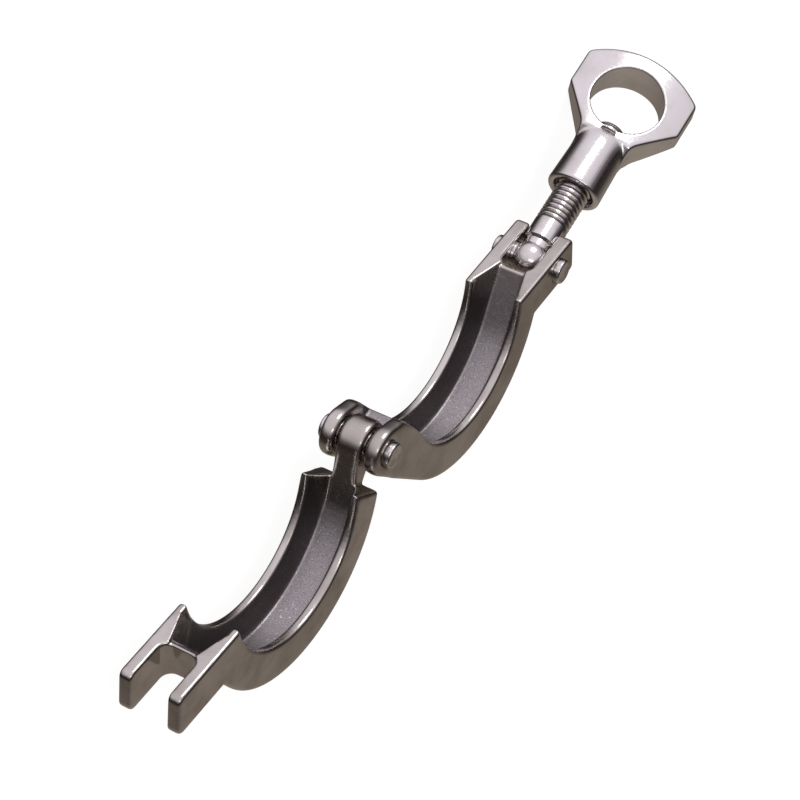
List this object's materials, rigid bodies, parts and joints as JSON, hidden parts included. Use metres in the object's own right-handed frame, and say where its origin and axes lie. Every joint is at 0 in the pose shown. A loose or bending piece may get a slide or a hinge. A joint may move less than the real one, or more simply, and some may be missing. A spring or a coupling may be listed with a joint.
{
  "type": "hinged pipe clamp",
  "caption": "Hinged pipe clamp with two grooved half rings, a swinging eye bolt and a wing nut that closes it around a pair of ferrules.",
  "frame": {"origin": "pipe axis of the bolt half at mid width", "axes": "+Z along the pipe and both pins, +X from the hinge towards the bolt pin, the bolt half bulges towards -Y; the clamp is stored open and nearly straight"},
  "size_m": [0.2027, 0.0424, 0.0282],
  "materials": {
    "bolt_half": "polished cast stainless steel with a bead-blasted groove",
    "fork_half": "polished cast stainless steel with a bead-blasted groove",
    "hinge_pin": "polished stainless steel",
    "bolt_pin": "polished stainless steel",
    "eye_bolt": "bright rolled stainless thread and polished eye",
    "wing_nut": "polished cast stainless steel",
    "nut_thread": "cut thread, darker than the polished outside"
  },
  "bodies": {
    "bolt_half": {"bolt_half": "bolt_half", "hinge_pin": "hinge_pin", "bolt_pin": "bolt_pin"},
    "fork_half": {"fork_half": "fork_half"},
    "eye_bolt": {"eye_bolt": "eye_bolt"},
    "nut_thread": {"nut_thread": "nut_thread"},
    "wing_nut": {"wing_nut": "wing_nut"}
  },
  "joints": [
    {"name": "half_hinge", "type": "hinge", "parent": "bolt_half", "child": "fork_half", "pos_m": [-0.0329, -0.00105, 0], "axis": [0, 0, 1], "range_deg": [-179, 14]},
    {"name": "bolt_swing", "type": "hinge", "parent": "bolt_half", "child": "eye_bolt", "pos_m": [0.0374, -0.0076, 0], "axis": [0, 0, 1], "range_deg": [-60, 80]},
    {"name": "nut_travel", "type": "slide", "parent": "eye_bolt", "child": "nut_thread", "axis": [0.9673, 0.2538, 0], "range_m": [-0.0025, 0.01375]},
    {"name": "nut_turn", "type": "hinge", "parent": "nut_thread", "child": "wing_nut", "pos_m": [0.0374, -0.0076, 0], "axis": [0.9673, 0.2538, 0], "range_deg": [-720, 3960]}
  ],
  "couplings": [
    {"joint": "nut_travel", "follows": "nut_turn", "m_per_rad": 0.00019894}
  ]
}
